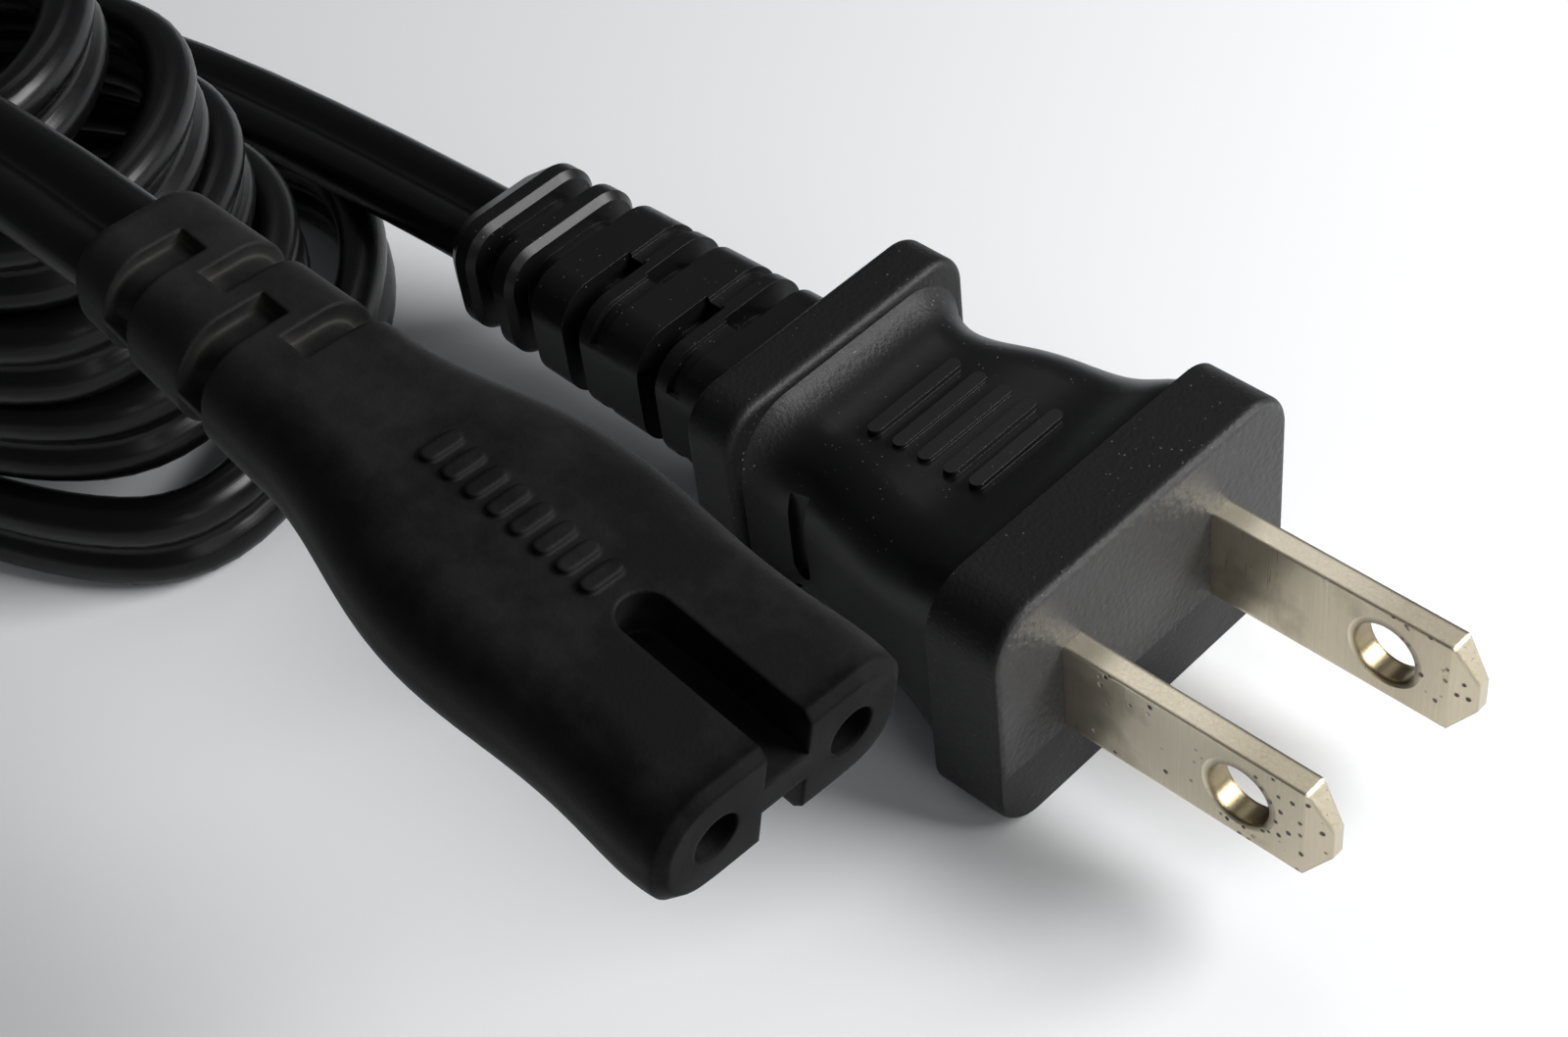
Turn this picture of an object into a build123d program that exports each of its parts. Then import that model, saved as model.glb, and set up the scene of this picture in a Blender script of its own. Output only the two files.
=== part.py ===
from build123d import *
import math
import os

os.makedirs("parts", exist_ok=True)

# A two-pin mains lead: flat-blade plug, flat twin flex, figure-eight connector.
# Millimetres. The plug lies on its broad side on z = 0, with its blades along +X.

# Flat twin flex and what is inside it
flex_width = 6.4
flex_thick = 3.2
core_dia = 2.9
strand_dia = 1.7
twin_pitch = 3.1

# Plug blades, to the flat two-blade standard
blade_pitch = 12.7
blade_width = 6.35
blade_thick = 1.52
blade_length = 17.5
blade_hole = 3.96
blade_hole_at = 11.73
blade_cut_x = 1.6
blade_cut_z = 2.2
blade_tip_thick = 0.8
blade_root = 8.0
crimp_dia = 3.0
crimp_length = 5.5

# Plug moulding, front rim to rear collar
face_width = 25.0
face_height = 16.6
rim_depth = 4.9
rim_corner = 3.2
edge_round = 0.6
grip_rear_width = 17.2
grip_rear_height = 12.5
grip_corner = 4.2
grip_front_width = 23.0
collar_width = 20.0
collar_rear = 25.5
collar_depth = 3.6
collar_corner = 2.6
collar_cove = 1.3
cove_reach = 2.2
lower_step_at = 3.2
lower_step = 0.15

# Raised grip ribs on both broad sides
rib_count = 5
rib_first = 9.2
rib_pitch = 1.9
rib_length = 7.5
rib_width = 0.9
rib_height = 0.35

# Recess in each side wall just ahead of the collar
side_slot_at = 18.3
side_slot_up = 1.4
side_slot_height = 7.4
side_slot_width = 1.5
side_slot_depth = 0.45

# Strain relief of the plug
relief_end = 52.8
relief_rear_width = 11.0
relief_rear_height = 8.3
relief_front_width = 12.2
relief_front_height = 8.6
relief_corner = 2.6
relief_core_width = 8.4
relief_core_height = 5.6
relief_slope = 1.5
crest_bevel = 0.45
ring_gap = 1.7
ring_first = 3.8
ring_pitch = 3.7
half_slot = 1.6
half_slot_overlap = 0.4
left_slots = (40.3, 33.5)
right_slots = (38.0, 31.2)
trace_width = 1.1
trace_depth = 0.3
trace_foot = 2.4

# Hard carrier moulded round the blades
carrier_front = 1.6
carrier_rear = 13.0
carrier_width = 18.6
carrier_height = 8.4
carrier_corner = 1.2
split_at = 30.0

# Figure-eight connector
pin_pitch = 8.6
pin_hole = 2.7
contact_bore = 2.44
contact_wall = 0.5
contact_front = 1.8
contact_length = 11.8
contact_slit = 0.5
tail_dia = 2.9
tail_length = 4.5
socket_width = 15.4
socket_height = 7.0
socket_max_width = 15.9
socket_max_height = 7.5
socket_bevel = 0.5
groove_width = 2.8
groove_web = 1.8
groove_length = 10.4
holder_wall = 0.6
holder_block_front = 12.2
holder_rear = 17.8
holder_width = 13.6
socket_end = 46.1
sleeve_front = 31.0
sleeve_front_width = 10.3
sleeve_front_height = 7.0
sleeve_rear_width = 8.4
sleeve_rear_height = 6.2
sleeve_core_width = 7.8
sleeve_core_height = 4.8
sleeve_slot = 2.0
sleeve_slot_overlap = 0.7
parting_rib = 0.5
sleeve_left_slots = (41.9, 35.6)
sleeve_right_slots = (38.8, 32.6)
pip_count = 8
pip_first = 11.9
pip_pitch = 1.54
pip_length = 2.4
pip_width = 0.9
pip_height = 0.25
socket_split = 30.0

# Where the connector lies: face centre, then the way it points
socket_face = (23.3, -32.2, 28.2)
socket_axis = (0.9886, -0.0105, -0.1502)
socket_up = (0.1506, 0.0747, 0.9858)

# Hank: the coiled rest of the flex, tied round its middle
hank_middle = (-95.3, -44.0, 0.0)
hank_along = (0.86, 0.51, 0.0)
near_lobe_at = 46.5
near_lobe = 19.5
far_lobe_at = 40.0
far_lobe = 20.0
waist_half = 9.0
waist_height = 20.0
pile_height = 31.5
tie_width = 3.6
tie_thick = 0.9
tie_corner = 5.0
tie_tail = 15.0
tie_tail_dia = 3.2
tie_tail_up = 12.0
tie_tail_drop = 0.35

# Plug's reference: blades ahead of the face and moulding behind it, centred on the origin
plug_face = (relief_end - blade_length) / 2
plug = Plane(origin=(plug_face, 0, face_height / 2))
socket = Plane(origin=socket_face, x_dir=socket_axis, z_dir=socket_up)
hank_plane = Plane(origin=hank_middle, x_dir=hank_along)


def across(base, x):
    """Plane square to the base's own X, at x along it."""
    return Plane(origin=base.from_local_coords((x, 0, 0)), x_dir=base.y_dir, z_dir=base.x_dir)


def corner_radii(points):
    """One bend radius for each inner point, as large as its two runs allow."""
    radii = []
    for before, here, after in zip(points, points[1:], points[2:]):
        first = Vector(here) - Vector(before)
        second = Vector(after) - Vector(here)
        half_turn = math.radians(first.get_angle(second)) / 2
        radii.append(0.45 * min(first.length, second.length) / math.tan(half_turn))
    return radii


def make_blade(side):
    """Stamped blade with its bevelled tip, hole and crimp barrel in one piece."""
    y = side * blade_pitch / 2
    with BuildPart() as blade:
        with BuildSketch(Plane(origin=plug.from_local_coords((0, y, 0)), x_dir=(1, 0, 0), z_dir=(0, -1, 0))):
            with BuildLine():
                Polyline(
                    (-blade_root, -blade_width / 2),
                    (blade_length - blade_cut_x, -blade_width / 2),
                    (blade_length, -blade_width / 2 + blade_cut_z),
                    (blade_length, blade_width / 2 - blade_cut_z),
                    (blade_length - blade_cut_x, blade_width / 2),
                    (-blade_root, blade_width / 2),
                    close=True,
                )
            make_face()
            with Locations((blade_hole_at, 0)):
                Circle(blade_hole / 2, mode=Mode.SUBTRACT)
        extrude(amount=blade_thick / 2, both=True)
        # Both faces slope in at the tip
        with BuildSketch(Plane(origin=plug.from_local_coords((0, y, 0)))):
            with BuildLine():
                Polyline(
                    (-blade_root, -blade_thick / 2),
                    (blade_length - blade_cut_x, -blade_thick / 2),
                    (blade_length, -blade_tip_thick / 2),
                    (blade_length, blade_tip_thick / 2),
                    (blade_length - blade_cut_x, blade_thick / 2),
                    (-blade_root, blade_thick / 2),
                    close=True,
                )
            make_face()
        extrude(amount=blade_width, both=True, mode=Mode.INTERSECT)
        with BuildSketch(across(plug, -blade_root - crimp_length)):
            with Locations((y, 0)):
                Circle(crimp_dia / 2)
        extrude(amount=crimp_length + crimp_dia / 2)
        with BuildSketch(across(plug, -blade_root - crimp_length)):
            with Locations((y, 0)):
                Circle(strand_dia / 2)
        extrude(amount=crimp_length, mode=Mode.SUBTRACT)
    return blade


def make_strands(base, side, pitch, front, length):
    """Bare copper strands of one core, twisted together and crimped."""
    with BuildPart() as strands:
        with BuildSketch(across(base, front - length)):
            with Locations((side * pitch / 2, 0)):
                Circle(strand_dia / 2)
        extrude(amount=length)
    return strands


def make_core(base, side, pitch, front, rear):
    """Insulated core, from where the twin flex is split to the crimp."""
    y_front = side * pitch / 2
    y_rear = side * twin_pitch / 2
    with BuildPart() as core:
        with BuildLine(base) as run:
            FilletPolyline(
                (front, y_front),
                (front - 3.5, y_front),
                (rear + 3.5, y_rear),
                (rear, y_rear),
                radius=3.0,
            )
        with BuildSketch(across(base, front)):
            with Locations((y_front, 0)):
                Circle(core_dia / 2)
        sweep(path=run.wire())
    return core


def make_lead(name, base, points):
    """Flat flex along a route of straight runs joined by tangent arcs."""
    radii = corner_radii(points)
    with BuildPart() as lead:
        with BuildLine() as run:
            FilletPolyline(*points, radius=radii)
        with BuildSketch(Plane(origin=points[0], x_dir=base.y_dir, z_dir=-base.x_dir)):
            SlotOverall(flex_width, flex_thick)
        sweep(path=run.wire())
    section = (flex_width - flex_thick) * flex_thick + math.pi * flex_thick**2 / 4
    length = run.wire().length
    print(name, "length", round(length, 1), "radii", [round(r) for r in radii])
    print(name, "volume over section x length", round(lead.part.volume / (section * length), 4))
    return lead


# Routes of the two free stretches, hand-placed from the photograph
plug_route = [
    tuple(plug.from_local_coords((-split_at, 0, 0))),
    tuple(plug.from_local_coords((-split_at - 30, 0, 0))),
    (-80.3, -2.8, 6.9),
    (-111.7, -12.0, 3.2),
    (-132.2, -31.0, 2.2),
    (-142.2, -50.0, 2.1),
    (-145.7, -65.5, 2.4),
]
socket_route = [
    tuple(socket.from_local_coords((-socket_split, 0, 0))),
    tuple(socket.from_local_coords((-socket_split - 26, 0, 0))),
    (-61.7, -34.5, 34.8),
    (-84.7, -41.0, 27.2),
    (-103.7, -49.0, 24.0),
    (-118.7, -57.5, 23.2),
    (-130.7, -65.0, 19.0),
]

# Copper, blades and cores of the plug
core_front = -blade_root - crimp_length - 0.8
blade_left = make_blade(-1)
blade_right = make_blade(1)
plug_strands_left = make_strands(plug, -1, blade_pitch, -blade_root, crimp_length + 0.8)
plug_strands_right = make_strands(plug, 1, blade_pitch, -blade_root, crimp_length + 0.8)
plug_core_left = make_core(plug, -1, blade_pitch, core_front, -split_at)
plug_core_right = make_core(plug, 1, blade_pitch, core_front, -split_at)
plug_lead = make_lead("plug_lead", plug, plug_route)

with BuildPart() as plug_carrier:
    with BuildSketch(across(plug, -carrier_rear)):
        RectangleRounded(carrier_width, carrier_height, carrier_corner)
    extrude(amount=carrier_rear - carrier_front)
    for inner in (blade_left, blade_right, plug_strands_left, plug_strands_right):
        add(inner.part, mode=Mode.SUBTRACT)

with BuildPart() as plug_body:
    # Rear collar, as tall as the rim, so that the plug lies flat on both
    with BuildSketch(across(plug, -collar_rear)):
        RectangleRounded(collar_width, face_height, collar_corner)
    extrude(amount=collar_depth)
    fillet(plug_body.faces().filter_by(Axis.X).edges(), radius=edge_round)
    # Grip, with a cove where it meets the collar
    cove_at = collar_rear - collar_depth
    for at, wide, high in (
        (cove_at, collar_width - 2.4 * edge_round, face_height - 2.4 * edge_round),
        (cove_at - 0.4 * cove_reach, grip_rear_width + 0.3 * collar_cove, grip_rear_height + 0.8 * collar_cove),
        (cove_at - cove_reach, grip_rear_width, grip_rear_height),
        (cove_at - 6.0, grip_rear_width + 1.4, grip_rear_height + 0.1),
        (rim_depth + 7.5, grip_rear_width + 3.1, grip_rear_height + 0.5),
        (rim_depth + 3.2, grip_rear_width + 4.6, grip_rear_height + 1.3),
        (rim_depth, grip_front_width, face_height - 0.4),
    ):
        with BuildSketch(across(plug, -at)):
            RectangleRounded(wide, high, grip_corner)
    loft()
    # Front rim, with the two blades through its face
    with BuildSketch(across(plug, -rim_depth)):
        RectangleRounded(face_width, face_height, rim_corner)
    extrude(amount=rim_depth)
    fillet(plug_body.faces().sort_by(Axis.X)[-1].edges(), radius=edge_round)
    # Strain relief
    for at, wide, high in (
        (relief_end, relief_core_width + 0.8, relief_core_height + 0.8),
        (relief_end - relief_slope, relief_rear_width, relief_rear_height),
        (collar_rear, relief_front_width, relief_front_height),
    ):
        with BuildSketch(across(plug, -at)):
            RectangleRounded(wide, high, relief_corner)
    loft(ruled=True)
    # Full rings at the rear
    for i in range(2):
        with BuildSketch(across(plug, -relief_end + ring_first + i * ring_pitch - ring_gap / 2)):
            Rectangle(2 * relief_front_width, 2 * relief_front_height)
            RectangleRounded(relief_core_width, relief_core_height, relief_corner, mode=Mode.SUBTRACT)
        extrude(amount=ring_gap, mode=Mode.SUBTRACT)
    rear = plug_face - relief_end
    rings = plug_body.faces().filter_by(Axis.X).filter_by_position(Axis.X, rear + 1, rear + ring_first + 2 * ring_pitch)
    chamfer([edge for ring in rings for edge in ring.outer_wire().edges()], length=crest_bevel)
    # Half slots, left and right by turns, each with a shallow trace over the other half
    for side, places in ((-1, left_slots), (1, right_slots)):
        for at in places:
            with BuildSketch(across(plug, -at - half_slot / 2)):
                with Locations((side * (relief_front_width - half_slot_overlap), 0)):
                    Rectangle(2 * relief_front_width, 2 * relief_front_height)
                RectangleRounded(relief_core_width, relief_core_height, relief_corner, mode=Mode.SUBTRACT)
            extrude(amount=half_slot, mode=Mode.SUBTRACT)
            grow = (relief_end - at) / (relief_end - collar_rear)
            wide = relief_rear_width + (relief_front_width - relief_rear_width) * grow - 2 * trace_depth
            high = relief_rear_height + (relief_front_height - relief_rear_height) * grow - 2 * trace_depth
            with BuildSketch(across(plug, -at - trace_width / 2)):
                Rectangle(2 * relief_front_width, 2 * relief_front_height)
                Rectangle(2 * relief_front_width, 2 * trace_foot, mode=Mode.SUBTRACT)
                RectangleRounded(wide, high, relief_corner, mode=Mode.SUBTRACT)
            extrude(amount=trace_width, mode=Mode.SUBTRACT)
    # Grip ribs on both broad sides, and the recess in each side wall
    for up in (1, -1):
        for i in range(rib_count):
            lift = grip_rear_height / 2 + 0.5 * (1 - i / rib_count) ** 2
            with BuildSketch(plug.offset(up * (lift - 1.5))):
                with Locations((-rib_first - i * rib_pitch, 0)):
                    SlotOverall(rib_length, rib_width, rotation=90)
            extrude(amount=up * (1.5 + rib_height))
        wall = Plane(
            origin=plug.from_local_coords((-side_slot_at, up * face_width / 2, side_slot_up)),
            x_dir=(0, 0, 1),
            z_dir=(0, up, 0),
        )
        with BuildSketch(wall):
            SlotOverall(side_slot_height, side_slot_width)
        extrude(amount=-(face_width - grip_rear_width) / 2 - side_slot_depth, mode=Mode.SUBTRACT)
    # Lower part of the face, a hair behind the rest
    with BuildSketch(across(plug, -lower_step)):
        with Locations((0, -lower_step_at - face_height / 2)):
            Rectangle(face_width, face_height)
    extrude(amount=lower_step, mode=Mode.SUBTRACT)
    for inner in (
        plug_carrier,
        blade_left,
        blade_right,
        plug_strands_left,
        plug_strands_right,
        plug_core_left,
        plug_core_right,
        plug_lead,
    ):
        add(inner.part, mode=Mode.SUBTRACT)


def make_contact(side):
    """Split spring tube for one pin, with its crimp tail."""
    y = side * pin_pitch / 2
    outer = contact_bore / 2 + contact_wall
    with BuildPart() as contact:
        with BuildSketch(across(socket, -contact_front - contact_length)):
            with Locations((y, 0)):
                Circle(outer)
        extrude(amount=contact_length)
        with BuildSketch(across(socket, -contact_front - contact_length + 0.8)):
            with Locations((y, 0)):
                Circle(contact_bore / 2)
        extrude(amount=contact_length, mode=Mode.SUBTRACT)
        with BuildSketch(across(socket, -contact_front - 0.7 * contact_length)):
            with Locations((y, outer)):
                Rectangle(contact_slit, 2 * outer)
        extrude(amount=contact_length, mode=Mode.SUBTRACT)
        with BuildSketch(across(socket, -contact_front - contact_length - tail_length)):
            with Locations((y, 0)):
                Circle(tail_dia / 2)
                Circle(strand_dia / 2, mode=Mode.SUBTRACT)
        extrude(amount=tail_length)
    return contact


# Contacts and cores of the connector
tail_front = -contact_front - contact_length
socket_core_front = tail_front - tail_length - 0.8
contact_left = make_contact(-1)
contact_right = make_contact(1)
socket_strands_left = make_strands(socket, -1, pin_pitch, tail_front, tail_length + 0.8)
socket_strands_right = make_strands(socket, 1, pin_pitch, tail_front, tail_length + 0.8)
socket_core_left = make_core(socket, -1, pin_pitch, socket_core_front, -socket_split)
socket_core_right = make_core(socket, 1, pin_pitch, socket_core_front, -socket_split)
socket_lead = make_lead("socket_lead", socket, socket_route)

with BuildPart() as contact_space:
    # What each contact takes up, its bore and slit included
    with BuildSketch(across(socket, -contact_front - contact_length)):
        with Locations((pin_pitch / 2, 0), (-pin_pitch / 2, 0)):
            Circle(contact_bore / 2 + contact_wall)
    extrude(amount=contact_length)
    with BuildSketch(across(socket, tail_front - tail_length)):
        with Locations((pin_pitch / 2, 0), (-pin_pitch / 2, 0)):
            Circle(tail_dia / 2)
    extrude(amount=tail_length)

with BuildPart() as socket_carrier:
    with BuildSketch(across(socket, -holder_rear)):
        RectangleRounded(holder_width, contact_bore + 2 * (contact_wall + holder_wall), 1.2)
    extrude(amount=holder_rear - holder_block_front)
    with BuildSketch(across(socket, -holder_block_front)):
        with Locations((pin_pitch / 2, 0), (-pin_pitch / 2, 0)):
            Circle(contact_bore / 2 + contact_wall + holder_wall)
    extrude(amount=holder_block_front - contact_front)
    add(contact_space.part, mode=Mode.SUBTRACT)

with BuildPart() as socket_body:
    for at, wide, high in (
        (0.0, socket_width, socket_height),
        (groove_length / 2, socket_width + 0.2, socket_height + 0.1),
        (groove_length + 2, socket_max_width - 0.2, socket_max_height - 0.1),
        (17.0, socket_max_width, socket_max_height),
        (21.5, socket_max_width - 1.4, socket_max_height),
        (26.0, sleeve_front_width + 1.6, socket_max_height - 0.2),
        (sleeve_front, sleeve_front_width, sleeve_front_height),
    ):
        with BuildSketch(across(socket, -at)):
            RectangleRounded(wide, high, 0.43 * high)
    loft()
    for at, wide, high in (
        (sleeve_front, sleeve_front_width, sleeve_front_height),
        (socket_end, sleeve_rear_width, sleeve_rear_height),
    ):
        with BuildSketch(across(socket, -at)):
            RectangleRounded(wide, high, 0.43 * high)
    loft(ruled=True)
    chamfer(socket_body.faces().sort_by(Axis(socket.origin, socket.x_dir))[-1].edges(), length=socket_bevel)
    fillet(socket_body.faces().sort_by(Axis(socket.origin, socket.x_dir))[0].edges(), radius=1.2)
    # Keying groove between the two barrels, above and below
    for up in (1, -1):
        with BuildSketch(socket.offset(up * groove_web / 2)):
            with Locations((0, 0)):
                SlotOverall(2 * groove_length, groove_width)
        extrude(amount=up * socket_height, mode=Mode.SUBTRACT)
    # Small ribs down the middle of the top
    with BuildSketch(socket.offset(socket_max_height / 2 - 1.0)):
        for i in range(pip_count):
            with Locations((-pip_first - i * pip_pitch, 0)):
                SlotOverall(pip_length, pip_width, rotation=90)
    extrude(amount=1.0 + pip_height)
    # Half slots of the strain relief
    for side, places in ((-1, sleeve_left_slots), (1, sleeve_right_slots)):
        for at in places:
            with BuildSketch(across(socket, -at - sleeve_slot / 2)):
                with Locations((side * (socket_width - sleeve_slot_overlap), 0)):
                    Rectangle(2 * socket_width, 2 * socket_height)
                RectangleRounded(sleeve_core_width, sleeve_core_height, 0.43 * sleeve_core_height, mode=Mode.SUBTRACT)
                Rectangle(2 * socket_width, parting_rib, mode=Mode.SUBTRACT)
            extrude(amount=sleeve_slot, mode=Mode.SUBTRACT)
    # Entry for each pin
    with BuildSketch(across(socket, -contact_front)):
        with Locations((pin_pitch / 2, 0), (-pin_pitch / 2, 0)):
            Circle(pin_hole / 2)
    extrude(amount=contact_front, mode=Mode.SUBTRACT)
    for inner in (
        socket_carrier,
        contact_space,
        socket_strands_left,
        socket_strands_right,
        socket_core_left,
        socket_core_right,
        socket_lead,
    ):
        add(inner.part, mode=Mode.SUBTRACT)

# Tie round the middle of the hank
with BuildPart() as cord_tie:
    with BuildSketch(across(hank_plane, -tie_width / 2)):
        with Locations((0, (waist_height + tie_thick) / 2)):
            RectangleRounded(2 * (waist_half + tie_thick), waist_height + tie_thick, tie_corner + tie_thick)
        with Locations((0, waist_height / 2 + tie_thick / 2)):
            RectangleRounded(2 * waist_half, waist_height - tie_thick, tie_corner, mode=Mode.SUBTRACT)
    extrude(amount=tie_width)
    # Its two ends, twisted together at the near side
    tail_root = hank_plane.from_local_coords((0, -waist_half - 0.6 * tie_thick, tie_tail_up))
    tail_way = -hank_plane.y_dir - hank_plane.z_dir * tie_tail_drop
    with BuildSketch(Plane(origin=tail_root, x_dir=hank_plane.x_dir, z_dir=tail_way)):
        Circle(tie_tail_dia / 2)
    extrude(amount=tie_tail)

with BuildPart() as cord_hank:
    # Lowest turn, wide at both ends
    with BuildSketch(hank_plane):
        with Locations((near_lobe_at, 0)):
            Circle(near_lobe)
        with Locations((-far_lobe_at, 0)):
            Circle(far_lobe)
        Polygon(
            (near_lobe_at, near_lobe), (0, waist_half), (0, -waist_half), (near_lobe_at, -near_lobe), align=None
        )
        Polygon(
            (-far_lobe_at, far_lobe), (-far_lobe_at, -far_lobe), (0, -waist_half), (0, waist_half), align=None
        )
    extrude(amount=flex_width)
    # Upper turns, narrower at the near end and leaning to the near side
    for u, w, half, high in (
        (near_lobe_at + 15.5, -4.0, 7.0, 17.0),
        (near_lobe_at + 11.0, -5.0, 11.0, 27.0),
        (near_lobe_at + 2.5, -4.5, 13.5, pile_height),
        (0.45 * near_lobe_at, -1.5, 10.5, 25.5),
        (0.0, 0.0, waist_half - 0.2, waist_height - 0.2),
        (-0.45 * far_lobe_at, 0.0, 12.5, 20.5),
        (-far_lobe_at, 0.0, far_lobe - 1.5, 21.0),
        (-far_lobe_at - 0.85 * far_lobe, 0.0, 9.0, 19.5),
    ):
        with BuildSketch(across(hank_plane, u)):
            with Locations((w, high / 2)):
                RectangleRounded(2 * half, high, 0.45 * min(2 * half, high))
    loft()
    for other in (cord_tie, plug_lead, socket_lead):
        add(other.part, mode=Mode.SUBTRACT)

for label, piece in {
    "plug_body": plug_body,
    "plug_carrier": plug_carrier,
    "blade_left": blade_left,
    "blade_right": blade_right,
    "plug_strands_left": plug_strands_left,
    "plug_strands_right": plug_strands_right,
    "plug_core_left": plug_core_left,
    "plug_core_right": plug_core_right,
    "plug_lead": plug_lead,
    "socket_body": socket_body,
    "socket_carrier": socket_carrier,
    "contact_left": contact_left,
    "contact_right": contact_right,
    "socket_strands_left": socket_strands_left,
    "socket_strands_right": socket_strands_right,
    "socket_core_left": socket_core_left,
    "socket_core_right": socket_core_right,
    "socket_lead": socket_lead,
    "cord_hank": cord_hank,
    "cord_tie": cord_tie,
}.items():
    piece.part.label = label
    export_step(piece.part, f"parts/{label}.step")
    print(label, "solids", len(piece.part.solids()), "volume", round(piece.part.volume, 1))
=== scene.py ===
import math

import bmesh
import bpy
from mathutils import Matrix, Vector


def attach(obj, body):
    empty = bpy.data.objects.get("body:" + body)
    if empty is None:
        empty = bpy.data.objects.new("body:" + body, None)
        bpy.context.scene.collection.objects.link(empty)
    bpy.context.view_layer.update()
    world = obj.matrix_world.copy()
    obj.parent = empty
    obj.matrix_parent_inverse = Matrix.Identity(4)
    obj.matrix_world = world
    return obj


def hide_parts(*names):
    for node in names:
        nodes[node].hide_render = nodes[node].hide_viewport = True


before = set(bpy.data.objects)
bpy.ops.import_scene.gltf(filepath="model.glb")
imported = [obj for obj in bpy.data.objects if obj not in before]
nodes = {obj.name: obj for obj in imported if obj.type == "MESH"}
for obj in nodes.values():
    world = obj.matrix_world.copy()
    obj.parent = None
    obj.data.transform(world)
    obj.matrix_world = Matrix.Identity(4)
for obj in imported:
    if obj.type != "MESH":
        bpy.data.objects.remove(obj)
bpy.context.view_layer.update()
mm = 0.001
print("frame loaded:", len(nodes), "nodes")


# Camera, solved from the blades and the face of the plug
cameraSettings = {
    "position": (0.08744, -0.08557, 0.12861),
    "right": (0.71809, 0.68975, -0.09262),
    "up": (-0.44652, 0.55872, 0.69889),
    "back": (0.53382, -0.46051, 0.70920),
    "lens": 67.5,
    "sensor": 36.0,
}


def makeCamera(settings):
    camera = bpy.data.cameras.new("photoCamera")
    camera.lens = settings["lens"]
    camera.sensor_width = settings["sensor"]
    camera.clip_start = 0.005
    camera.clip_end = 20
    cameraObject = bpy.data.objects.new("photoCamera", camera)
    bpy.context.scene.collection.objects.link(cameraObject)
    turn = Matrix((settings["right"], settings["up"], settings["back"])).transposed()
    cameraObject.matrix_world = Matrix.Translation(settings["position"]) @ turn.to_4x4()
    bpy.context.scene.camera = cameraObject


makeCamera(cameraSettings)
print("camera placed")


# The lead: plug, then the hank turn by turn, then connector
leadSettings = {
    "width": 6.4 * mm,
    "thickness": 3.2 * mm,
    "grooveHalf": 0.35 * mm,     # half the mouth of the groove between the two cores
    "webHalf": 0.85 * mm,
    "arcSteps": 14,
    "stepsPerPoint": 6,
    "onEdge": 1.57,              # a quarter turn: the flex stands on its edge in the hank
    "length": 1.7,
    "exit": (-0.03515, 0.0, 0.0083),
}
hankSettings = {
    "middle": (-0.0953, -0.0440, 0.0),
    "along": (0.86, 0.51, 0.0),
}

# Points, and how far the flex has turned about its own line there, plug end first
plugRun = [
    ((-0.01235, 0.0, 0.0083), 0.0),
    ((-0.04235, 0.0, 0.0083), 0.0),
    ((-0.0803, -0.0028, 0.0069), 0.1),
    ((-0.1117, -0.0120, 0.0032), 0.7),
    ((-0.1322, -0.0310, 0.0030), 1.35),
    ((-0.1422, -0.0500, 0.0032), 1.57),
]
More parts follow.
